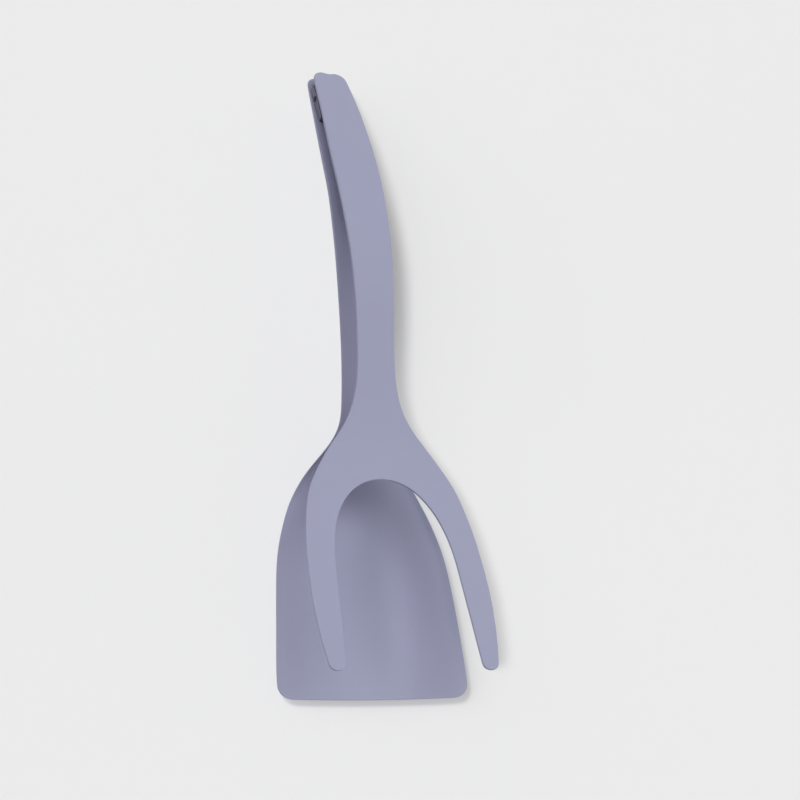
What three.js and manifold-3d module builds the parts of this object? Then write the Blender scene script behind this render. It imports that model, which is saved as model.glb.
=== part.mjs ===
// Spatula tongs: two bent arms hinged at the tail and sprung open. The lower arm ends in a broad
// blade, the upper one in a fork of two long tines. Each arm is a stiff nylon core inside a soft
// matte cover, and the cores carry the ears of the hinge.
// Millimetres. +X is to the left of someone holding the tail, +Y runs from the tail to the tips,
// +Z is up from the blade to the fork. The blade's underside lies on z = 0.

import * as THREE from "three";
import { mergeVertices } from "three/addons/utils/BufferGeometryUtils.js";
import Module from "manifold-3d";

const wasm = await Module();
wasm.setup();

// Lengths along the tongs, from the tail of the spatula arm
const LENGTH = 284.2;
const HINGE_AT = 14;
const SPATULA_GRIP_AT = 53;
const SPATULA_CREST_AT = 69;
const SPATULA_NECK_AT = 162;
const HEEL_AT = 202;
const SHOULDER_AT = 210;
const FORK_SET_BACK = 0.9;
const TINE_SET_BACK = 1;
const FORK_GRIP_AT = 59;
const FORK_CREST_AT = 99;
const FORK_NECK_AT = 147;
const FORK_VALLEY_AT = 188;
const FORK_SHOULDER_AT = 206;
const FORK_WIDEST_AT = 251;
const CROTCH_AT = 198.5;
const CROTCH_CURVE_LENGTH = 36;

// Widths
const TAIL_WIDTH = 15.2;
const HINGE_WIDTH = 17.7;
const GRIP_WIDTH = 21.6;
const SPATULA_NECK_WIDTH = 14.3;
const SHOULDER_WIDTH = 69.6;
const BLADE_WIDTH = 87.6;
const FORK_NECK_WIDTH = 17.3;
const FORK_MARGIN = 3.6;
const FORK_SHOULDER_MARGIN = 9.3;
const FORK_TIP_MARGIN = 6.6;
const TINE_WIDTH = 13;
const TINE_TIP_WIDTH = 6.9;
const TAIL_CORNER = 4.8;
const BLADE_CORNER = 6;
const BLADE_END_BOW = 1;
const TINE_CORNER = 3.2;
const TAIL_DIP = 0.6;
const TAIL_DIP_WIDTH = 7.6;

// Heights of each arm's underside above the table
const SPATULA_TAIL_HEIGHT = 13.2;
const SPATULA_CREST_HEIGHT = 29.2;
const FORK_TAIL_HEIGHT = 20.5;
const HINGE_SPACE = 5;
const FORK_CREST_HEIGHT = 42.9;
const FORK_VALLEY_HEIGHT = 28.6;
const FORK_TIP_HEIGHT = 40.5;
const LIP_RISE = 1.6;

// Thicknesses
const TAIL_THICKNESS = 2.6;
const SPATULA_HANDLE_THICKNESS = 3.2;
const SPATULA_NECK_THICKNESS = 3;
const BLADE_THICKNESS = 2.2;
const BLADE_EDGE_THICKNESS = 1.7;
const FORK_HANDLE_THICKNESS = 3.2;
const FORK_NECK_THICKNESS = 2.9;
const TINE_THICKNESS = 2.4;

// Covers and the cavities that hold the cores
const FIT_CLEARANCE = 0.2;
const HANDLE_SIDE_WALL = 1.4;
const BLADE_SIDE_WALL = 3.6;
const BLADE_EDGE_WALL = 7;
const TINE_SIDE_WALL = 1.8;
const FACE_WALL_SHARE = 0.25;
const WIDEST_SHARE = 0.8;
const LOWER_ROUND_SHARE = 0.6;
const UPPER_ROUND_SHARE = 0.13;

// Hinge
const PIN_DIAMETER = 2.5;
const PIN_HEAD_DIAMETER = 3.4;
const PIN_HEAD_THICKNESS = 0.8;
const PUSH_NUT_THICKNESS = 0.7;
const PIN_CHAMFER = 0.3;
const BORE_CLEARANCE = 0.3;
const HUB_DIAMETER = 5;
const HUB_THICKNESS = 1.3;
const CHEEK_THICKNESS = 1.9;
const CHEEK_BACK = 8;
const CHEEK_FRONT = 12;
const CHEEK_CORNER = 1;
const CHEEK_TOP_WALL = 0.5;
const CHEEK_LEDGE = 1.3;
const STOP_CLEARANCE = 0.35;
const SQUEEZE_ANGLE = THREE.MathUtils.degToRad(7.5);
const WASHER_THICKNESS = 0.4;
const WASHER_DIAMETER = 5;
const WASHER_GAP = 0.1;
const WINDOW_CLEARANCE = 0.35;

// Torsion spring round the pin
const WIRE_DIAMETER = 0.8;
const SPRING_BORE_CLEARANCE = 0.35;
const SPRING_TURN_GAP = 0.42;
const SPRING_HALF_TURNS = 7;
const SPRING_LEG_LENGTH = 9.5;
const SPRING_SEAT_CLEARANCE = 0.3;

// Outlines and profiles as shares: [share of the way along, share of the change between its ends]
const FLARE_SHARES = [[0, 0], [0.1, 0.03], [0.21, 0.12], [0.32, 0.27], [0.43, 0.445], [0.54, 0.6],
  [0.67, 0.745], [0.82, 0.88], [1, 1]];
const BLADE_SIDE_SHARES = [[0, 0], [0.11, 0.3], [0.23, 0.5], [0.36, 0.62], [0.58, 0.775], [0.81, 0.92],
  [1, 1]];
const FORK_FLARE_SHARES = [[0, 0], [0.15, 0.02], [0.3, 0.085], [0.45, 0.225], [0.59, 0.46],
  [0.74, 0.692], [0.865, 0.865], [1, 1]];
const TINE_SWELL_SHARES = [[0, 0], [0.2, 0.38], [0.37, 0.63], [0.61, 0.845], [1, 1]];
const TINE_NARROW_SHARES = [[0, 0], [0.5, 0.26], [1, 1]];
const RISE_SHARES = [[0, 0], [0.214, 0.28], [0.47, 0.585], [0.714, 0.835], [1, 1]];
const SPATULA_FALL_SHARES = [[0, 0], [0.15, 0.045], [0.35, 0.205], [0.51, 0.37], [0.65, 0.555],
  [0.75, 0.71], [0.84, 0.855], [0.92, 0.955], [1, 1]];
const FORK_RISE_SHARES = [[0, 0], [0.134, 0.225], [0.271, 0.4], [0.476, 0.65], [0.727, 0.891], [1, 1]];
const FORK_FALL_SHARES = [[0, 0], [0.26, 0.143], [0.5, 0.457], [0.64, 0.65], [0.73, 0.78],
  [0.83, 0.89], [0.92, 0.98], [1, 1]];
const TINE_RISE_SHARES = [[0, 0], [0.18, 0.062], [0.36, 0.24], [0.6, 0.535], [1, 1]];
const LIP_SHARES = [[0, 0], [0.3, 0.75], [0.5, 1], [0.7, 0.9], [0.9, 0.3], [1, 0]];
const LIP_START_SHARE = 0.87;
const CROTCH_TOP_SHARE = 0.6;
const CROTCH_SIDE_SHARE = 0.93;
const CROTCH_DROP_SHARE = 0.45;

// Mesh counts
const CORNER_STEPS = 4;
const RIM_STEPS = 4;
const HANDLE_STEPS = 20;
const FLARE_STEPS = 9;
const BLADE_STEPS = 8;
const CROTCH_STEPS = 8;
const TINE_STEPS = 7;
const BLADE_COLUMN_SHARES = [0, 0.45, LIP_START_SHARE, 0.94, 1];
const FORK_COLUMN_SHARES = [0, 0.12, 0.56, 0.9, 1];
const ROUND_SIDES = 20;
const WIRE_SIDES = 6;
const STEPS_PER_TURN = 8;
const LEG_STEPS = 3;

const halfOf = (size) => size / 2;
const within = (width, margin) => width - margin - margin;
const FORK_END = LENGTH - TINE_SET_BACK;

// The fork's outline lies within the blade's, and the gap between its tines within the fork's
const FORK_WIDTH = within(BLADE_WIDTH, FORK_MARGIN);
const FORK_SHOULDER_WIDTH = within(BLADE_WIDTH, FORK_SHOULDER_MARGIN);
const FORK_TIP_WIDTH = within(BLADE_WIDTH, FORK_TIP_MARGIN);
const CROTCH_WIDTH = within(FORK_WIDTH, TINE_WIDTH);
const TIP_GAP_WIDTH = within(FORK_TIP_WIDTH, TINE_TIP_WIDTH);

const coverMaterial = new THREE.MeshStandardMaterial({ color: 0x9d9fb8, roughness: 0.72, metalness: 0 });
const coreMaterial = new THREE.MeshStandardMaterial({ color: 0x565466, roughness: 0.55, metalness: 0 });
const steelMaterial = new THREE.MeshStandardMaterial({ color: 0xb9bbbe, roughness: 0.3, metalness: 1 });
const washerMaterial = new THREE.MeshStandardMaterial({ color: 0xe4e2dc, roughness: 0.5, metalness: 0 });

// A smooth curve through points that never overshoots them and stays level between equal ones
function smoothThrough(points) {
  const last = points.length - 1;
  const runs = [];
  const grades = [];
  for (let i = 0; i < last; i++) {
    runs.push(points[i + 1][0] - points[i][0]);
    grades.push((points[i + 1][1] - points[i][1]) / runs[i]);
  }
  const slopes = points.map((_, i) => {
    if (i === 0) return grades[0];
    if (i === last) return grades[last - 1];
    if (grades[i - 1] * grades[i] <= 0) return 0;
    const before = 2 * runs[i] + runs[i - 1];
    const after = runs[i] + 2 * runs[i - 1];
    return (before + after) / (before / grades[i - 1] + after / grades[i]);
  });
  return (x) => {
    if (x <= points[0][0]) return points[0][1];
    if (x >= points[last][0]) return points[last][1];
    const i = points.findIndex((p, k) => k < last && x <= points[k + 1][0]);
    const t = (x - points[i][0]) / runs[i];
    const rise = t * t * (3 - 2 * t);
    const lift = runs[i] * t * (1 - t) * (slopes[i] * (1 - t) - slopes[i + 1] * t);
    return points[i][1] * (1 - rise) + points[i + 1][1] * rise + lift;
  };
}

// Real points of a stretch that runs between two [place, size] ends by a table of shares
const stretch = (from, to, shares) =>
  shares.map(([along, part]) => [
    from[0] + (to[0] - from[0]) * along,
    from[1] + (to[1] - from[1]) * part,
  ]);

// Stretches joined end to end, without the points that they share
const joinStretches = (...parts) => parts.flatMap((part, i) => (i ? part.slice(1) : part));

const scaled = (points, factor) => points.map(([at, size]) => [at, size * factor]);

const spread = (from, to, steps) =>
  Array.from({ length: steps + 1 }, (_, i) => from + ((to - from) * i) / steps);

// Half the width of the spatula arm at each place along it
const spatulaHalfWidth = smoothThrough(scaled(joinStretches(
  [[0, TAIL_WIDTH], [HINGE_AT, HINGE_WIDTH], [SPATULA_GRIP_AT, GRIP_WIDTH],
    [SPATULA_NECK_AT, SPATULA_NECK_WIDTH]],
  stretch([SPATULA_NECK_AT, SPATULA_NECK_WIDTH], [SHOULDER_AT, SHOULDER_WIDTH], FLARE_SHARES),
  stretch([SHOULDER_AT, SHOULDER_WIDTH], [LENGTH, BLADE_WIDTH], BLADE_SIDE_SHARES),
), halfOf(1)));

// Half the width over both tines of the fork arm
const forkHalfWidth = smoothThrough(scaled(joinStretches(
  [[FORK_SET_BACK, TAIL_WIDTH], [HINGE_AT, HINGE_WIDTH], [FORK_GRIP_AT, GRIP_WIDTH],
    [FORK_NECK_AT, FORK_NECK_WIDTH]],
  stretch([FORK_NECK_AT, FORK_NECK_WIDTH], [FORK_SHOULDER_AT, FORK_SHOULDER_WIDTH], FORK_FLARE_SHARES),
  stretch([FORK_SHOULDER_AT, FORK_SHOULDER_WIDTH], [FORK_WIDEST_AT, FORK_WIDTH], TINE_SWELL_SHARES),
  stretch([FORK_WIDEST_AT, FORK_WIDTH], [FORK_END, FORK_TIP_WIDTH], TINE_NARROW_SHARES),
), halfOf(1)));

const spatulaUnderside = smoothThrough(joinStretches(
  stretch([0, SPATULA_TAIL_HEIGHT], [SPATULA_CREST_AT, SPATULA_CREST_HEIGHT], RISE_SHARES),
  stretch([SPATULA_CREST_AT, SPATULA_CREST_HEIGHT], [HEEL_AT, 0], SPATULA_FALL_SHARES),
  [[HEEL_AT, 0], [LENGTH, 0]],
));

// The fork arm passes the pin with a set space above the spatula arm
const forkHingeHeight = spatulaUnderside(HINGE_AT) + TAIL_THICKNESS + HINGE_SPACE;
const forkUnderside = smoothThrough(joinStretches(
  [[FORK_SET_BACK, FORK_TAIL_HEIGHT], [HINGE_AT, forkHingeHeight]],
  stretch([HINGE_AT, forkHingeHeight], [FORK_CREST_AT, FORK_CREST_HEIGHT], FORK_RISE_SHARES),
  stretch([FORK_CREST_AT, FORK_CREST_HEIGHT], [FORK_VALLEY_AT, FORK_VALLEY_HEIGHT], FORK_FALL_SHARES),
  stretch([FORK_VALLEY_AT, FORK_VALLEY_HEIGHT], [FORK_END, FORK_TIP_HEIGHT], TINE_RISE_SHARES),
));

// The spatula arm: everything that shapes it as a bent plate
const spatulaArm = {
  start: 0,
  end: LENGTH,
  underside: spatulaUnderside,
  thickness: smoothThrough([
    [0, TAIL_THICKNESS], [SPATULA_CREST_AT, SPATULA_HANDLE_THICKNESS],
    [SPATULA_NECK_AT, SPATULA_NECK_THICKNESS], [SHOULDER_AT, BLADE_THICKNESS],
    [LENGTH, BLADE_EDGE_THICKNESS],
  ]),
  sideWall: smoothThrough([
    [0, HANDLE_SIDE_WALL], [SPATULA_NECK_AT, HANDLE_SIDE_WALL], [SHOULDER_AT, BLADE_SIDE_WALL],
    [LENGTH, BLADE_SIDE_WALL],
  ]),
  pull: smoothThrough([[SHOULDER_AT, 0], [LENGTH, BLADE_EDGE_WALL - BLADE_SIDE_WALL]]),
  columns: BLADE_COLUMN_SHARES,
  lift: bladeLip,
  shift: bladeEndBow,
};

const forkArm = {
  start: FORK_SET_BACK,
  end: FORK_END,
  underside: forkUnderside,
  thickness: smoothThrough([
    [FORK_SET_BACK, TAIL_THICKNESS], [FORK_GRIP_AT, FORK_HANDLE_THICKNESS],
    [FORK_NECK_AT, FORK_NECK_THICKNESS], [FORK_SHOULDER_AT, TINE_THICKNESS],
    [FORK_END, TINE_THICKNESS],
  ]),
  sideWall: smoothThrough([
    [FORK_SET_BACK, HANDLE_SIDE_WALL], [FORK_NECK_AT, HANDLE_SIDE_WALL],
    [FORK_SHOULDER_AT, TINE_SIDE_WALL], [FORK_END, TINE_SIDE_WALL],
  ]),
  pull: () => 0,
  columns: FORK_COLUMN_SHARES,
  lift: () => 0,
  shift: tailDip,
};

// The blade's long edges curl up a little, most at mid-blade, and lie flat at its end
function bladeLip(x, y) {
  const along = smoothThrough(stretch([SPATULA_NECK_AT, 0], [LENGTH, LIP_RISE], LIP_SHARES));
  const across = Math.abs(x) / spatulaHalfWidth(y);
  const part = Math.max(0, (across - LIP_START_SHARE) / (1 - LIP_START_SHARE));
  return along(y) * part * part;
}

// The blade's end bows out a little between its corners
function bladeEndBow(x, y) {
  const across = x / halfOf(BLADE_WIDTH);
  const along = Math.max(0, 1 - (LENGTH - y) / BLADE_CORNER);
  return BLADE_END_BOW * (1 - across * across) * along;
}

// The fork arm's tail has a shallow dip between two lobes
function tailDip(x, y) {
  const across = Math.max(0, 1 - Math.abs(x) / halfOf(TAIL_DIP_WIDTH));
  const along = Math.max(0, 1 - (y - FORK_SET_BACK) / TAIL_DIP_WIDTH);
  return TAIL_DIP * across * across * (3 - 2 * across) * along;
}

// Outward direction at each point of a line of points, turned to the right of its run
function rightNormals(points) {
  return points.map((p, i) => {
    const before = points[Math.max(0, i - 1)];
    const after = points[Math.min(points.length - 1, i + 1)];
    const run = new THREE.Vector2().subVectors(after, before).normalize();
    return new THREE.Vector2(run.y, -run.x);
  });
}

// A quarter round from one direction to another, both ends included
const cornerPoints = (cx, cy, radius, from, to) =>
  spread(from, to, CORNER_STEPS).map(
    (angle) => new THREE.Vector2(cx + radius * Math.cos(angle), cy + radius * Math.sin(angle)),
  );

const QUARTER = Math.PI / 2;

// Tail end and long side of an arm's right half, up to the last place given
function tailAndSide(start, halfWidth, places) {
  const cornerY = start + TAIL_CORNER;
  const corner = cornerPoints(halfWidth(cornerY) - TAIL_CORNER, cornerY, TAIL_CORNER, -QUARTER, 0);
  return corner.concat(places.map((y) => new THREE.Vector2(halfWidth(y), y)));
}

// The spatula arm's rungs: pairs of a point on its middle line and one on its edge
function spatulaRungs() {
  const handle = spread(TAIL_CORNER, SPATULA_NECK_AT, HANDLE_STEPS).slice(1);
  const flare = spread(SPATULA_NECK_AT, SHOULDER_AT, FLARE_STEPS).slice(1);
  const blade = spread(SHOULDER_AT, LENGTH - BLADE_CORNER, BLADE_STEPS).slice(1, -1);
  const cornerY = LENGTH - BLADE_CORNER;
  const corner = cornerPoints(
    spatulaHalfWidth(cornerY) - BLADE_CORNER, cornerY, BLADE_CORNER, 0, QUARTER,
  );
  const outer = tailAndSide(0, spatulaHalfWidth, [...handle, ...flare, ...blade]).concat(corner);
  const normals = rightNormals(outer);
  normals[0].set(0, -1);
  normals[outer.length - 1].set(0, 1);
  return outer.map((point, i) => ({ outer: point, outerNormal: normals[i], inner: null }));
}

// Inner edge of the right tine from the middle of the crotch to its tip
function tineInnerEdge() {
  const halfCrotch = halfOf(CROTCH_WIDTH);
  const curveEnd = CROTCH_AT + CROTCH_CURVE_LENGTH;
  const arch = new THREE.CubicBezierCurve(
    new THREE.Vector2(0, CROTCH_AT),
    new THREE.Vector2(halfCrotch * CROTCH_TOP_SHARE, CROTCH_AT),
    new THREE.Vector2(halfCrotch * CROTCH_SIDE_SHARE, CROTCH_AT + CROTCH_CURVE_LENGTH * CROTCH_DROP_SHARE),
    new THREE.Vector2(halfCrotch, curveEnd),
  );
  const cornerY = FORK_END - TINE_CORNER;
  const bend = smoothThrough([[curveEnd, halfCrotch], [FORK_END, halfOf(TIP_GAP_WIDTH)]]);
  const straight = spread(curveEnd, cornerY, TINE_STEPS).slice(1, -1);
  const corner = cornerPoints(bend(cornerY) + TINE_CORNER, cornerY, TINE_CORNER, 2 * QUARTER, QUARTER);
  return [
    ...arch.getSpacedPoints(CROTCH_STEPS),
    ...straight.map((y) => new THREE.Vector2(bend(y), y)),
    ...corner,
  ];
}

// The fork arm's rungs: from the middle line to the edge in the handle, and across the tine beyond
function forkRungs() {
  const handle = spread(FORK_SET_BACK + TAIL_CORNER, FORK_NECK_AT, HANDLE_STEPS).slice(1);
  const flareEnd = CROTCH_AT - halfOf(FORK_SHOULDER_AT - CROTCH_AT) - HANDLE_SIDE_WALL;
  const flare = spread(FORK_NECK_AT, flareEnd, FLARE_STEPS).slice(1);
  const cornerY = FORK_END - TINE_CORNER;
  const curved = spread(CROTCH_AT, CROTCH_AT + CROTCH_CURVE_LENGTH, CROTCH_STEPS);
  const straight = spread(CROTCH_AT + CROTCH_CURVE_LENGTH, cornerY, TINE_STEPS).slice(1, -1);
  const corner = cornerPoints(
    forkHalfWidth(cornerY) - TINE_CORNER, cornerY, TINE_CORNER, 0, QUARTER,
  );
  const body = tailAndSide(FORK_SET_BACK, forkHalfWidth, [...handle, ...flare]);
  const tine = [...curved, ...straight].map((y) => new THREE.Vector2(forkHalfWidth(y), y));
  const outer = [...body, ...tine, ...corner];
  const outerNormals = rightNormals(outer);
  outerNormals[0].set(0, -1);
  outerNormals[outer.length - 1].set(0, 1);
  const inner = tineInnerEdge();
  const innerNormals = rightNormals(inner).map((n) => n.negate());
  innerNormals[0].set(0, 1);
  innerNormals[inner.length - 1].set(0, 1);
  return outer.map((point, i) => ({
    outer: point,
    outerNormal: outerNormals[i],
    inner: i < body.length ? null : inner[i - body.length],
    innerNormal: i < body.length ? null : innerNormals[i - body.length],
  }));
}

spatulaArm.rungs = spatulaRungs();
forkArm.rungs = forkRungs();

// The section of an edge from its lower face to its upper one, in shares of the thickness: how far
// it stays back from the outline, and how high it is. It's widest above its middle.
const rim = spread(0, Math.PI, RIM_STEPS).map((angle) => {
  const upper = angle > QUARTER;
  const reach = upper ? 1 - WIDEST_SHARE : WIDEST_SHARE;
  return {
    away: (1 - Math.sin(angle)) * (upper ? UPPER_ROUND_SHARE : LOWER_ROUND_SHARE),
    part: WIDEST_SHARE - Math.cos(angle) * reach,
  };
});

// One closed solid that follows an arm's bent plate. inset draws its outline in all round, pull
// draws it back further towards its end, and floor and ceiling give the heights of its faces above
// the arm's underside at each place along it.
function bentPlate(arm, { inset, pull, floor, ceiling }) {
  const { rungs, columns } = arm;
  const lastRung = rungs.length - 1;
  const lastColumn = columns.length - 1;
  const crotch = rungs.findIndex((rung) => rung.inner);
  const step = (arm.end - arm.start) / (rungs.length * rungs.length);

  const drawIn = (point, normal, extra) => {
    const distance = inset(point.y) + extra;
    return new THREE.Vector2(point.x - normal.x * distance, point.y - normal.y * distance);
  };
  const plan = (row, column, extra) => {
    const rung = rungs[row];
    const outer = drawIn(rung.outer, rung.outerNormal, extra);
    const inner = rung.inner
      ? drawIn(rung.inner, rung.innerNormal, extra)
      : new THREE.Vector2(0, outer.y);
    return inner.lerp(outer, columns[column]);
  };
  const place = (side, row, column, extra, part) => {
    const at = plan(row, column, extra);
    const y = at.y + arm.shift(at.x, at.y) - pull(at.y);
    const slope = (arm.underside(y + step) - arm.underside(y - step)) / (2 * step);
    const tilt = Math.hypot(1, slope);
    const height = floor(y) + (ceiling(y) - floor(y)) * part;
    return new THREE.Vector3(
      side * at.x,
      y - (slope * height) / tilt,
      arm.underside(y) + height / tilt + arm.lift(at.x, at.y),
    );
  };
  const depthAt = (row) => {
    const y = plan(row, lastColumn, 0).y;
    return ceiling(y) - floor(y);
  };
  const corner = (side, [row, column], k) =>
    place(side, row, column, rim[k].away * depthAt(row), rim[k].part);

  // The edge of the right half, anticlockwise from above, from middle line to middle line
  const edge = [];
  for (let column = 0; column <= lastColumn; column++) edge.push([0, column]);
  for (let row = 1; row <= lastRung; row++) edge.push([row, lastColumn]);
  for (let column = lastColumn - 1; column >= 0; column--) edge.push([lastRung, column]);
  if (crotch > 0) for (let row = lastRung - 1; row >= crotch; row--) edge.push([row, 0]);

  const triangles = [];
  const addQuad = (side, a, b, c, d) => {
    const ring = side > 0 ? [a, b, c, a, c, d] : [a, c, b, a, d, c];
    triangles.push(...ring);
  };
  for (const side of [1, -1]) {
    for (let i = 1; i < edge.length; i++)
      for (let k = 0; k < RIM_STEPS; k++)
        addQuad(side, corner(side, edge[i - 1], k), corner(side, edge[i], k),
          corner(side, edge[i], k + 1), corner(side, edge[i - 1], k + 1));
    for (let row = 0; row < lastRung; row++)
      for (let column = 0; column < lastColumn; column++) {
        const cell = [[row, column], [row, column + 1], [row + 1, column + 1], [row + 1, column]];
        addQuad(side, ...cell.map((at) => corner(side, at, RIM_STEPS)));
        addQuad(-side, ...cell.map((at) => corner(side, at, 0)));
      }
  }
  return new THREE.BufferGeometry().setFromPoints(triangles);
}

// A closed geometry as a solid for joining and cutting
function solidOf(geometry) {
  const bare = geometry.clone();
  bare.deleteAttribute("normal");
  bare.deleteAttribute("uv");
  const merged = mergeVertices(bare);
  return new wasm.Manifold(new wasm.Mesh({
    numProp: 3,
    vertProperties: merged.attributes.position.array,
    triVerts: new Uint32Array(merged.index.array),
  }));
}

function geometryOf(solid) {
  const { numProp, vertProperties, triVerts, numVert } = solid.getMesh();
  const positions = new Float32Array(numVert * 3);
  for (let i = 0; i < numVert; i++)
    positions.set(vertProperties.subarray(i * numProp, i * numProp + 3), i * 3);
  const geometry = new THREE.BufferGeometry();
  geometry.setAttribute("position", new THREE.BufferAttribute(positions, 3));
  geometry.setIndex(new THREE.BufferAttribute(triVerts, 1));
  geometry.computeVertexNormals();
  return geometry;
}

const faceWall = (arm, y) => arm.thickness(y) * FACE_WALL_SHARE;

// The whole arm, the cavity in its cover, and the core that fills the cavity with a clearance
const armBody = (arm) =>
  bentPlate(arm, { inset: () => 0, pull: () => 0, floor: () => 0, ceiling: arm.thickness });

const armInside = (arm, clearance) =>
  bentPlate(arm, {
    inset: (y) => arm.sideWall(y) + clearance,
    pull: arm.pull,
    floor: (y) => faceWall(arm, y) + clearance,
    ceiling: (y) => arm.thickness(y) - faceWall(arm, y) - clearance,
  });

// The plane of an arm's face at a place along it, with the directions along and out of the face
function faceFrame(arm, y, part) {
  const step = FIT_CLEARANCE;
  const slope = (arm.underside(y + step) - arm.underside(y - step)) / (2 * step);
  const along = new THREE.Vector2(1, slope).normalize();
  const out = new THREE.Vector2(-along.y, along.x);
  const point = new THREE.Vector2(y, arm.underside(y)).addScaledVector(out, arm.thickness(y) * part);
  return { point, along, out };
}

const lowerFace = faceFrame(spatulaArm, HINGE_AT, 1);
const upperFace = faceFrame(forkArm, HINGE_AT, 0);

// The pin lies below the fork's face by its recess, the wall over it and the stop's clearance
const recessRadius = halfOf(PIN_HEAD_DIAMETER) + WASHER_GAP;
const pinDrop = recessRadius + CHEEK_TOP_WALL + STOP_CLEARANCE;
const pin = upperFace.point.clone().addScaledVector(upperFace.out, -pinDrop);

// Both planes are measured from the foot of the pin on them
for (const face of [lowerFace, upperFace]) {
  const distance = face.point.clone().sub(pin).dot(face.out);
  face.point = pin.clone().addScaledVector(face.out, distance);
}

// Places across the hinge, from the middle outwards
const pitch = WIRE_DIAMETER + SPRING_TURN_GAP;
const springHalfLength = halfOf(pitch * halfOf(SPRING_HALF_TURNS) + WIRE_DIAMETER);
const hubInside = springHalfLength + BORE_CLEARANCE;
const hubOutside = hubInside + HUB_THICKNESS;
const washerInside = hubOutside + WASHER_GAP;
const cheekInside = washerInside + WASHER_THICKNESS + WASHER_GAP;
const cheekOutside = cheekInside + CHEEK_THICKNESS;
const ledgeOutside = cheekOutside + CHEEK_LEDGE;

// A point beside a face, given along it and out of it
const beside = (frame, along, out) =>
  frame.point.clone().addScaledVector(frame.along, along).addScaledVector(frame.out, out);

// A flat plate across the tongs between two places on x, from an outline in y and z
function sidePlate(points, radius, from, to) {
  const shape = new THREE.Shape();
  points.forEach((point, i) => {
    const before = points[(i + points.length - 1) % points.length];
    const after = points[(i + 1) % points.length];
    const enter = before.clone().sub(point).setLength(radius).add(point);
    const leave = after.clone().sub(point).setLength(radius).add(point);
    if (i === 0) shape.moveTo(enter.x, enter.y);
    else shape.lineTo(enter.x, enter.y);
    shape.quadraticCurveTo(point.x, point.y, leave.x, leave.y);
  });
  shape.closePath();
  const plate = new THREE.ExtrudeGeometry(shape, {
    depth: to - from, bevelEnabled: false, curveSegments: CORNER_STEPS,
  });
  return solidOf(plate.applyMatrix4(yzToWorld(from)));
}

// Turns a drawing in y and z, extruded along the third axis, to stand across the tongs
const yzToWorld = (from) =>
  new THREE.Matrix4().set(0, 0, 1, from, 1, 0, 0, 0, 0, 1, 0, 0, 0, 0, 0, 1);

// A round bar across the tongs, centred on the pin's axis
function crossBar(radius, from, to) {
  const bar = new THREE.CylinderGeometry(radius, radius, to - from, ROUND_SIDES);
  bar.rotateZ(QUARTER).translate(halfOf(from + to), pin.x, pin.y);
  return solidOf(bar);
}

const bothSides = (make, inside, outside) =>
  make(inside, outside).add(make(-outside, -inside));

const boreRadius = halfOf(PIN_DIAMETER) + BORE_CLEARANCE;

// The point that lies a gap below the fork's face, straight out of a place on the spatula's face
function underFork(along, gap) {
  const foot = beside(lowerFace, along, 0);
  const rise = beside(upperFace, 0, -gap).sub(foot).dot(upperFace.out);
  return foot.addScaledVector(lowerFace.out, rise / lowerFace.out.dot(upperFace.out));
}

// The spatula core's ears: two cheeks whose tops slope away so that the arms can be squeezed, and
// that widen to a ledge over the cover's face
function cheeks() {
  const sink = halfOf(spatulaArm.thickness(HINGE_AT));
  const squeeze = (CHEEK_FRONT + STOP_CLEARANCE) * Math.tan(SQUEEZE_ANGLE);
  const plate = (foot) => {
    const outline = [
      beside(lowerFace, -CHEEK_BACK, foot),
      beside(lowerFace, CHEEK_FRONT, foot),
      underFork(CHEEK_FRONT, STOP_CLEARANCE + squeeze),
      underFork(0, STOP_CLEARANCE),
      underFork(-CHEEK_BACK, STOP_CLEARANCE),
    ];
    return (from, to) => sidePlate(outline, CHEEK_CORNER, from, to);
  };
  return bothSides(plate(-sink), cheekInside, cheekOutside)
    .add(bothSides(plate(FIT_CLEARANCE), cheekInside, ledgeOutside));
}

// The fork core's ears: two round hubs on short webs
function hubs() {
  const sink = halfOf(forkArm.thickness(HINGE_AT));
  const radius = halfOf(HUB_DIAMETER);
  const toPin = pin.distanceTo(upperFace.point);
  const outline = [
    beside(upperFace, -radius, -toPin), beside(upperFace, radius, -toPin),
    beside(upperFace, radius, sink), beside(upperFace, -radius, sink),
  ];
  const webs = bothSides(
    (from, to) => sidePlate(outline, FIT_CLEARANCE, from, to), hubInside, hubOutside,
  );
  return webs.add(bothSides((from, to) => crossBar(radius, from, to), hubInside, hubOutside));
}

const pinBore = () =>
  crossBar(boreRadius, -ledgeOutside - WINDOW_CLEARANCE, ledgeOutside + WINDOW_CLEARANCE);

// Recesses in the cheeks' outer faces for the pin's head and its push nut
const headRecess = () => bothSides(
  (from, to) => crossBar(recessRadius, from, to),
  cheekOutside - PIN_HEAD_THICKNESS - WASHER_GAP,
  ledgeOutside + WINDOW_CLEARANCE,
);

const spatulaCore = () =>
  solidOf(armInside(spatulaArm, FIT_CLEARANCE)).add(cheeks()).subtract(pinBore()).subtract(headRecess());

const forkCore = () =>
  solidOf(armInside(forkArm, FIT_CLEARANCE)).add(hubs()).subtract(pinBore());

// Openings in the covers' inner faces that let the ears and the spring through to the cores
function earWindow(frame, back, front, halfWidth, depth) {
  const reach = WINDOW_CLEARANCE;
  const outline = [
    beside(frame, -back, -depth), beside(frame, front, -depth),
    beside(frame, front, depth + reach), beside(frame, -back, depth + reach),
  ];
  return sidePlate(outline, FIT_CLEARANCE, -halfWidth, halfWidth);
}

function spatulaCover() {
  const depth = halfOf(spatulaArm.thickness(HINGE_AT));
  return solidOf(armBody(spatulaArm))
    .subtract(solidOf(armInside(spatulaArm, 0)))
    .subtract(earWindow(lowerFace, CHEEK_BACK + WINDOW_CLEARANCE, CHEEK_FRONT + WINDOW_CLEARANCE,
      cheekOutside + WINDOW_CLEARANCE, depth));
}

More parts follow.
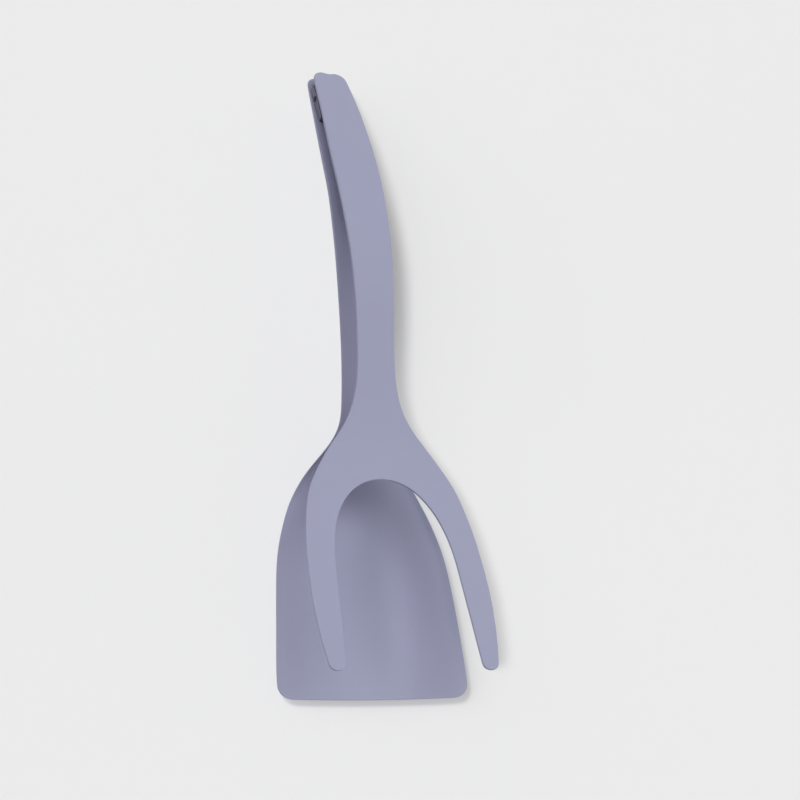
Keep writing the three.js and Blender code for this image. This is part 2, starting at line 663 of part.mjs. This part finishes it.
function forkCover() {
  const depth = halfOf(forkArm.thickness(HINGE_AT));
  return solidOf(armBody(forkArm))
    .subtract(solidOf(armInside(forkArm, 0)))
    .subtract(earWindow(upperFace, halfOf(HUB_DIAMETER) + WINDOW_CLEARANCE,
      SPRING_LEG_LENGTH + WIRE_DIAMETER, cheekInside, depth));
}

// A turned piece along x from a closed profile of [radius, place] corners
function turned(profile, at) {
  const points = profile.map(([radius, place]) => new THREE.Vector2(radius, place));
  const geometry = new THREE.LatheGeometry(points, ROUND_SIDES);
  geometry.rotateZ(-QUARTER).translate(at, pin.x, pin.y);
  return solidOf(geometry);
}

function hingePin() {
  const radius = halfOf(PIN_DIAMETER);
  const head = halfOf(PIN_HEAD_DIAMETER);
  const headFoot = cheekOutside - PIN_HEAD_THICKNESS;
  const profile = [
    [0, -cheekOutside], [radius - PIN_CHAMFER, -cheekOutside], [radius, PIN_CHAMFER - cheekOutside],
    [radius, headFoot], [head, headFoot], [head, cheekOutside - PIN_CHAMFER],
    [head - PIN_CHAMFER, cheekOutside], [0, cheekOutside],
  ];
  return turned(profile, 0);
}

// A ring on the pin, with its bore a clearance wider than the pin
function pinRing(diameter, thickness, clearance, at) {
  const bore = halfOf(PIN_DIAMETER) + clearance;
  const radius = halfOf(diameter);
  const half = halfOf(thickness);
  return turned([[bore, -half], [radius, -half], [radius, half], [bore, half], [bore, -half]], at);
}

const washerAt = washerInside + halfOf(WASHER_THICKNESS);
const nutAt = cheekOutside - halfOf(PUSH_NUT_THICKNESS) - WASHER_GAP;

// The spring's middle line: a leg along each core's inner face and turns round the pin between
function springLine() {
  const radius = halfOf(PIN_DIAMETER) + SPRING_BORE_CLEARANCE + halfOf(WIRE_DIAMETER);
  const start = Math.atan2(-lowerFace.out.y, -lowerFace.out.x);
  const bend = lowerFace.along.angle() - upperFace.along.angle();
  const sweep = -(SPRING_HALF_TURNS * Math.PI + bend);
  const halfRun = springHalfLength - halfOf(WIRE_DIAMETER);
  const turns = spread(0, 1, Math.round(halfOf(SPRING_HALF_TURNS) * STEPS_PER_TURN)).map((part) => {
    const angle = start + sweep * part;
    return new THREE.Vector3(
      halfRun * (2 * part - 1),
      pin.x + radius * Math.cos(angle),
      pin.y + radius * Math.sin(angle),
    );
  });
  const leg = (arm, frame, toCore, from) => {
    const seat = faceWall(arm, HINGE_AT) + FIT_CLEARANCE - halfOf(WIRE_DIAMETER) - SPRING_SEAT_CLEARANCE;
    const end = beside(frame, SPRING_LEG_LENGTH, toCore * seat);
    const tip = new THREE.Vector3(from.x, end.x, end.y);
    return spread(0, 1, LEG_STEPS).slice(1).map((part) => from.clone().lerp(tip, part));
  };
  const lowerLeg = leg(spatulaArm, lowerFace, -1, turns[0]);
  const upperLeg = leg(forkArm, upperFace, 1, turns[turns.length - 1]);
  return [...lowerLeg.reverse(), ...turns, ...upperLeg];
}

// The least distance between stretches of wire that are more than half a turn apart
function leastGap(points) {
  const apart = STEPS_PER_TURN - 1;
  let least = Infinity;
  points.forEach((a, i) =>
    points.slice(i + apart).forEach((b) => {
      least = Math.min(least, a.distanceTo(b));
    }),
  );
  return least - WIRE_DIAMETER;
}

function returnSpring() {
  const points = springLine();
  console.log("return_spring: least gap to itself", leastGap(points).toFixed(2), "mm");
  const wire = new THREE.Shape();
  wire.absarc(0, 0, halfOf(WIRE_DIAMETER), 0, 2 * Math.PI);
  const path = new THREE.CatmullRomCurve3(points);
  const steps = points.length - 1 + 2 * LEG_STEPS;
  return solidOf(new THREE.ExtrudeGeometry(wire, {
    steps, curveSegments: halfOf(WIRE_SIDES), extrudePath: path, bevelEnabled: false,
  }));
}

function meshOf(name, solid, material) {
  const mesh = new THREE.Mesh(geometryOf(solid), material);
  mesh.name = name;
  return mesh;
}

const spatulaSide = new THREE.Group();
spatulaSide.add(
  meshOf("spatula_cover", spatulaCover(), coverMaterial),
  meshOf("spatula_core", spatulaCore(), coreMaterial),
  meshOf("hinge_pin", hingePin(), steelMaterial),
  meshOf("pin_push_nut", pinRing(PIN_HEAD_DIAMETER, PUSH_NUT_THICKNESS, WASHER_GAP, -nutAt), steelMaterial),
  meshOf("return_spring", returnSpring(), steelMaterial),
);
for (const [side, name] of [[1, "left"], [-1, "right"]])
  spatulaSide.add(meshOf(
    "hinge_washer_" + name,
    pinRing(WASHER_DIAMETER, WASHER_THICKNESS, BORE_CLEARANCE, side * washerAt),
    washerMaterial,
  ));

const forkSide = new THREE.Group();
forkSide.add(
  meshOf("fork_cover", forkCover(), coverMaterial),
  meshOf("fork_core", forkCore(), coreMaterial),
);

const tongs = new THREE.Group();
tongs.add(spatulaSide, forkSide);
const box = new THREE.Box3().setFromObject(tongs);
tongs.position.y = -halfOf(box.min.y + box.max.y);

export default tongs;
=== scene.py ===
"""Looks of the spatula tongs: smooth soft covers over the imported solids, plain studio, camera."""

import math
from collections import namedtuple

import bmesh
import bpy
from mathutils import Matrix, Vector


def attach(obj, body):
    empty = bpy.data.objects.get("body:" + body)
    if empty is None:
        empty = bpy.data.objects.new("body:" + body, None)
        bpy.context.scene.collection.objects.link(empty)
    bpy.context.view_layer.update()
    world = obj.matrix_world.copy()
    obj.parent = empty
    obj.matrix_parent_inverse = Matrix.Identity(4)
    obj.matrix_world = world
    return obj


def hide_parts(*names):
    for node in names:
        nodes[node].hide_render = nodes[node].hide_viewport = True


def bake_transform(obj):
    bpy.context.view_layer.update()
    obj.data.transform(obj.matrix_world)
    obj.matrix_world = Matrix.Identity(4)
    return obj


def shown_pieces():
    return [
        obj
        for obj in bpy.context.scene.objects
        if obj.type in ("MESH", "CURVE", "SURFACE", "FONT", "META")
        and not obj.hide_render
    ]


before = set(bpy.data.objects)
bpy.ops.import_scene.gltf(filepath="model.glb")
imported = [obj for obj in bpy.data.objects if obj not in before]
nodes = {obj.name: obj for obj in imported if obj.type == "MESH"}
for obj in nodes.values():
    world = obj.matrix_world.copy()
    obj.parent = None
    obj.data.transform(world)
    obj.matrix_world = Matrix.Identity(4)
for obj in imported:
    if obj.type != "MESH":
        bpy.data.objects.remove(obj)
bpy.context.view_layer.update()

# Rounding of the copied meshes: edges that bend more than the sharp angle stay edges
MERGE_DISTANCE = 1e-6
FLAT_PAIR_DEGREES = 35
QUAD_SHAPE_DEGREES = 50
COVER_LEVELS = 2
COVER_SHARP_DEGREES = 55
WIRE_LEVELS = 0
WIRE_SHARP_DEGREES = 70

# Camera of the photograph, in metres in the part's frame
CAMERA_LENS = 90.8
SENSOR_WIDTH = 36
CAMERA_NEAR = 0.01
CAMERA_PLACE = Vector((0.3519, 0.31886, 0.7497))
camera_forward = Vector((-0.4241, -0.3478, -0.8362)).normalized()
camera_up = Vector((-0.9042, 0.1103, 0.4127)).normalized().cross(camera_forward).normalized()
camera_right = camera_forward.cross(camera_up).normalized()

FLOOR_DROP = 0.004
FLOOR_HALF_WIDTH = 6.0
FLOOR_GLOW = 0.1
WORLD_LEVEL = 0.22
WHITE = (1.0, 1.0, 1.0)
# Where the photograph's upper right light doesn't reach, its shade is a little more violet
COOL_TINT = (0.88, 1.0, 0.95)
VIOLET_TINT = (1.05, 1.0, 1.02)

# A distant soft lamp, tilted off the camera's axis towards a turn round it, all in degrees
Lamp = namedtuple("Lamp", "name tilt turn level softness tint")
PIECE_LAMPS = (
    Lamp("right_lamp", tilt=70, turn=0, level=0.33, softness=30, tint=VIOLET_TINT),
    Lamp("upper_right_lamp", tilt=48, turn=45, level=0.215, softness=30, tint=COOL_TINT),
    Lamp("top_lamp", tilt=70, turn=90, level=0.102, softness=30, tint=VIOLET_TINT),
    Lamp("upper_left_lamp", tilt=48, turn=135, level=0.21, softness=30, tint=VIOLET_TINT),
    Lamp("front_lamp", tilt=25, turn=60, level=0.124, softness=30, tint=VIOLET_TINT),
)
# The photograph's soft shadow lies close to every edge, low or high, so each arm has its own lamps
FORK_SHADOW_LAMPS = (
    Lamp("fork_shadow_lamp", tilt=9, turn=135, level=0.388, softness=7, tint=WHITE),
)
SPATULA_SHADOW_LAMPS = (
    Lamp("spatula_near_shadow_lamp", tilt=34, turn=114, level=0.327, softness=14, tint=WHITE),
    Lamp("spatula_wide_shadow_lamp", tilt=47, turn=160, level=0.534, softness=70, tint=WHITE),
)


def srgb(red, green, blue):
    """A colour given as screen values from 0 to 255, as the linear colour that a shader takes."""
    channels = [value / 255 for value in (red, green, blue)]
    linear = [c / 12.92 if c <= 0.04045 else ((c + 0.055) / 1.055) ** 2.4 for c in channels]
    return (*linear, 1.0)


COVER_DARK, COVER_LIGHT = srgb(155, 157, 183), srgb(160, 162, 187)
# The cores' two tones are darker than the covers' with painted shade: they stand for the deep shade
# between the arms at the tail.
CORE_PAINTED_SHADE_DARK, CORE_PAINTED_SHADE_LIGHT = srgb(102, 100, 121), srgb(110, 108, 129)
STEEL_DARK, STEEL_LIGHT = srgb(170, 172, 175), srgb(205, 206, 208)
WASHER_DARK, WASHER_LIGHT = srgb(222, 219, 210), srgb(234, 232, 225)
PAPER_DARK, PAPER, PAPER_LIGHT = srgb(234, 234, 234), srgb(235, 235, 235), srgb(236, 236, 236)
PAPER_THROWN_BACK = srgb(200, 200, 200)


class Nodes:
    """The node tree of a material or world with short ways to add nodes and links."""

    def __init__(self, owner, output="ShaderNodeOutputMaterial"):
        owner.use_nodes = True
        self.tree = owner.node_tree
        self.tree.nodes.clear()
        self.output = self.add(output)

    def add(self, kind, **values):
        node = self.tree.nodes.new(kind)
        for name, value in values.items():
            setattr(node, name, value)
        return node

    def link(self, source, target):
        self.tree.links.new(source, target)

    def place(self):
        return self.add("ShaderNodeTexCoord").outputs["Object"]

    def noise(self, where, scale, detail, roughness=0.5):
        node = self.add("ShaderNodeTexNoise")
        node.inputs["Scale"].default_value = scale
        node.inputs["Detail"].default_value = detail
        node.inputs["Roughness"].default_value = roughness
        self.link(where, node.inputs["Vector"])
        return node.outputs["Fac"]

    def spread(self, value, low, high):
        """A value from 0 to 1 laid out between two numbers."""
        node = self.add("ShaderNodeMapRange")
        node.inputs["To Min"].default_value = low
        node.inputs["To Max"].default_value = high
        self.link(value, node.inputs["Value"])
        return node.outputs["Result"]

    def tint(self, value, dark, light):
        """A value from 0 to 1 as a colour between two."""
        node = self.add("ShaderNodeMix", data_type="RGBA")
        node.inputs[6].default_value = dark
        node.inputs[7].default_value = light
        self.link(value, node.inputs["Factor"])
        return node.outputs[2]

    def bump(self, height, distance):
        node = self.add("ShaderNodeBump")
        node.inputs["Distance"].default_value = distance
        self.link(height, node.inputs["Height"])
        return node.outputs["Normal"]

    def seen(self):
        """One where the camera looks, straight or through a gloss or a clear piece, and else zero."""
        path = self.add("ShaderNodeLightPath")
        result = path.outputs["Is Camera Ray"]
        for ray in ("Is Glossy Ray", "Is Transmission Ray"):
            larger = self.add("ShaderNodeMath", operation="MAXIMUM")
            self.link(result, larger.inputs[0])
            self.link(path.outputs[ray], larger.inputs[1])
            result = larger.outputs[0]
        return result

    def surface(self, colour, roughness, normal, plain_values):
        """The material's surface: three textured inputs, and the rest as plain numbers by name."""
        shader = self.add("ShaderNodeBsdfPrincipled")
        self.link(colour, shader.inputs["Base Color"])
        self.link(roughness, shader.inputs["Roughness"])
        self.link(normal, shader.inputs["Normal"])
        for name, value in plain_values.items():
            shader.inputs[name].default_value = value
        self.link(shader.outputs[0], self.output.inputs[0])


def soft_cover_material():
    """Matte silicone: nearly one even colour, a very fine grain and a faint bloom at grazing angles."""
    material = bpy.data.materials.new("soft_cover")
    n = Nodes(material)
    where = n.place()
    cloud = n.noise(where, scale=22, detail=3)
    wear = n.noise(where, scale=260, detail=4)
    grain = n.noise(where, scale=2600, detail=2, roughness=0.6)
    n.surface(
        colour=n.tint(cloud, COVER_DARK, COVER_LIGHT),
        roughness=n.spread(wear, low=0.6, high=0.74),
        normal=n.bump(grain, distance=0.00002),
        plain_values={
            "IOR": 1.41, "Specular IOR Level": 0.35, "Sheen Weight": 0.12, "Sheen Roughness": 0.45,
        },
    )
    return material


def core_material():
    """Moulded nylon of the cores, glossier than the covers, its colour darkened with painted shade for
    the deep shade between the arms at the tail.
    """
    material = bpy.data.materials.new("nylon_core")
    n = Nodes(material)
    where = n.place()
    n.surface(
        colour=n.tint(n.noise(where, scale=60, detail=3), CORE_PAINTED_SHADE_DARK, CORE_PAINTED_SHADE_LIGHT),
        roughness=n.spread(n.noise(where, scale=500, detail=3), low=0.42, high=0.58),
        normal=n.bump(n.noise(where, scale=1800, detail=3), distance=0.00003),
        plain_values={"Specular IOR Level": 0.3},
    )
    return material


def steel_material(name, stretch):
    """Stainless steel with a fine grain, which a larger stretch along an axis turns into lines."""
    material = bpy.data.materials.new(name)
    n = Nodes(material)
    mapping = n.add("ShaderNodeMapping")
    mapping.inputs["Scale"].default_value = stretch
    n.link(n.place(), mapping.inputs["Vector"])
    lines = n.noise(mapping.outputs[0], scale=400, detail=4)
    n.surface(
        colour=n.tint(lines, STEEL_DARK, STEEL_LIGHT),
        roughness=n.spread(lines, low=0.22, high=0.4),
        normal=n.bump(lines, distance=0.00001),
        plain_values={"Metallic": 1.0},
    )
    return material


def washer_material():
    """Natural nylon of the thin washers."""
    material = bpy.data.materials.new("nylon_washer")
    n = Nodes(material)
    where = n.place()
    n.surface(
        colour=n.tint(n.noise(where, scale=300, detail=2), WASHER_DARK, WASHER_LIGHT),
        roughness=n.spread(n.noise(where, scale=900, detail=3), low=0.4, high=0.55),
        normal=n.bump(n.noise(where, scale=2400, detail=2), distance=0.00001),
        plain_values={},
    )
    return material


def floor_material():
    """Pale paper as the camera sees it, nearly even, with the object's shadow kept on it. It throws
    back less light on the object than it shows, as the paper of a small table does."""
    material = bpy.data.materials.new("floor")
    n = Nodes(material)
    seen = n.seen()
    pale = n.tint(n.noise(n.place(), scale=3, detail=2), PAPER_DARK, PAPER_LIGHT)
    colour = n.add("ShaderNodeMix", data_type="RGBA")
    colour.inputs[6].default_value = PAPER_THROWN_BACK
    n.link(seen, colour.inputs["Factor"])
    n.link(pale, colour.inputs[7])
    diffuse = n.add("ShaderNodeBsdfDiffuse")
    n.link(colour.outputs[2], diffuse.inputs["Color"])
    glow = n.add("ShaderNodeEmission")
    n.link(pale, glow.inputs["Color"])
    mix = n.add("ShaderNodeMixShader")
    n.link(n.spread(seen, low=0, high=FLOOR_GLOW), mix.inputs[0])
    n.link(diffuse.outputs[0], mix.inputs[1])
    n.link(glow.outputs[0], mix.inputs[2])
    n.link(mix.outputs[0], n.output.inputs[0])
    return material


def dress(piece, material):
    piece.data.materials.clear()
    piece.data.materials.append(material)


def smooth_mesh(node, name, sharp_degrees):
    """A copy of a CAD node's mesh with its facets as quads and its cut edges kept sharp."""
    mesh = nodes[node].data.copy()
    mesh.name = name
    work = bmesh.new()
    work.from_mesh(mesh)
    bmesh.ops.remove_doubles(work, verts=work.verts, dist=MERGE_DISTANCE)
    bmesh.ops.join_triangles(
        work, faces=work.faces, angle_face_threshold=math.radians(FLAT_PAIR_DEGREES),
        angle_shape_threshold=math.radians(QUAD_SHAPE_DEGREES),
    )
    crease = work.edges.layers.float.get("crease_edge") or work.edges.layers.float.new("crease_edge")
    for edge in work.edges:
        if len(edge.link_faces) == 2 and edge.calc_face_angle() > math.radians(sharp_degrees):
            edge[crease] = 1.0
    work.to_mesh(mesh)
    work.free()
    if "custom_normal" in mesh.attributes:
        mesh.attributes.remove(mesh.attributes["custom_normal"])
    return mesh


def smooth_copy(node, name, material, levels, sharp_degrees):
    """A rounded piece that stands for a CAD node, subdivided so many levels and dressed."""
    piece = bpy.data.objects.new(name, smooth_mesh(node, name, sharp_degrees))
    bpy.context.scene.collection.objects.link(piece)
    rounder = piece.modifiers.new("round", "SUBSURF")
    rounder.levels = rounder.render_levels = levels
    bpy.context.view_layer.update()
    depsgraph = bpy.context.evaluated_depsgraph_get()
    final = bpy.data.meshes.new_from_object(piece.evaluated_get(depsgraph))
    final.name = name
    piece.modifiers.clear()
    piece.data = final
    final.shade_smooth()
    final.set_sharp_from_angle(angle=math.radians(sharp_degrees))
    dress(piece, material)
    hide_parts(node)
    return piece


def dress_covers():
    cover = soft_cover_material()
    for arm in ("spatula", "fork"):
        piece = smooth_copy(
            f"{arm}_cover", f"{arm}_cover_soft", cover, COVER_LEVELS, COVER_SHARP_DEGREES
        )
        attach(piece, f"{arm}_arm")


def dress_hinge():
    """The cores and the hinge keep their CAD shapes; the spring becomes a copied wire, baked in place.
    """
    core = core_material()
    turned_steel = steel_material("turned_steel", (12, 1, 1))
    wire_steel = steel_material("wire_steel", (1, 1, 1))
    washer = washer_material()
    finishes = {
        "spatula_core": core,
        "fork_core": core,
        "hinge_pin": turned_steel,
        "pin_push_nut": turned_steel,
        "hinge_washer_left": washer,
        "hinge_washer_right": washer,
    }
    for name, material in finishes.items():
        dress(nodes[name], material)

    spring = smooth_copy(
        "return_spring", "return_spring_wire", wire_steel, WIRE_LEVELS,
        WIRE_SHARP_DEGREES,
    )
    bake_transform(spring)


def make_camera():
    data = bpy.data.cameras.new("camera")
    data.sensor_width = SENSOR_WIDTH
    data.lens = CAMERA_LENS
    data.clip_start = CAMERA_NEAR
    camera = bpy.data.objects.new("camera", data)
    across, upward, back = camera_right, camera_up, -camera_forward
    camera.matrix_world = Matrix((
        (across.x, upward.x, back.x, CAMERA_PLACE.x),
        (across.y, upward.y, back.y, CAMERA_PLACE.y),
        (across.z, upward.z, back.z, CAMERA_PLACE.z),
        (0, 0, 0, 1),
    ))
    bpy.context.scene.collection.objects.link(camera)
    bpy.context.scene.camera = camera


def make_floor():
    mesh = bpy.data.meshes.new("floor")
    half = FLOOR_HALF_WIDTH
    corners = [(-half, -half, 0), (half, -half, 0), (half, half, 0), (-half, half, 0)]
    mesh.from_pydata(corners, [], [(0, 1, 2, 3)])
    mesh.materials.append(floor_material())
    floor = bpy.data.objects.new("floor", mesh)
    floor.location.z = -FLOOR_DROP
    bpy.context.scene.collection.objects.link(floor)
    return floor


def make_world():
    """An even dim light on everything, and the pale of the paper wherever the camera sees it."""
    world = bpy.data.worlds.new("studio")
    bpy.context.scene.world = world
    n = Nodes(world, "ShaderNodeOutputWorld")
    back = n.add("ShaderNodeBackground")
    n.link(n.spread(n.seen(), low=WORLD_LEVEL, high=PAPER[0]), back.inputs["Strength"])
    back.inputs["Color"].default_value = (*WHITE, 1)
    n.link(back.outputs[0], n.output.inputs[0])


def collection_of(name, objects):
    """A collection that lamps are linked to, outside the scene's own tree."""
    collection = bpy.data.collections.new(name)
    for item in objects:
        collection.objects.link(item)
    return collection


def hang(lamp, receivers, blockers=None):
    """Puts up a lamp that lights only its receivers, shaded by its blockers alone where it has any."""
    tilt, turn = math.radians(lamp.tilt), math.radians(lamp.turn)
    across = camera_right * math.cos(turn) + camera_up * math.sin(turn)
    towards = across * math.sin(tilt) - camera_forward * math.cos(tilt)
    data = bpy.data.lights.new(lamp.name, "SUN")
    data.energy = lamp.level * math.pi
    data.color = lamp.tint
    data.angle = math.radians(lamp.softness)
    holder = bpy.data.objects.new(lamp.name, data)
    holder.rotation_euler = towards.to_track_quat("Z", "Y").to_euler()
    holder.location = towards
    bpy.context.scene.collection.objects.link(holder)
    holder.light_linking.receiver_collection = receivers
    holder.light_linking.blocker_collection = blockers


def hang_lamps():
    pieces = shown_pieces()
    fork_pieces = [piece for piece in pieces if piece.name.startswith("fork")]
    spatula_pieces = [piece for piece in pieces if piece not in fork_pieces]
    pieces_lit = collection_of("pieces_lit", pieces)
    stage_lit = collection_of("stage_lit", [make_floor()])
    fork_blockers = collection_of("fork_pieces", fork_pieces)
    spatula_blockers = collection_of("spatula_pieces", spatula_pieces)
    for lamp in PIECE_LAMPS:
        hang(lamp, pieces_lit)
    for lamp in FORK_SHADOW_LAMPS:
        hang(lamp, stage_lit, fork_blockers)
    for lamp in SPATULA_SHADOW_LAMPS:
        hang(lamp, stage_lit, spatula_blockers)


dress_covers()
dress_hinge()
make_camera()
make_world()
hang_lamps()

bpy.context.scene.view_settings.view_transform = "Standard"
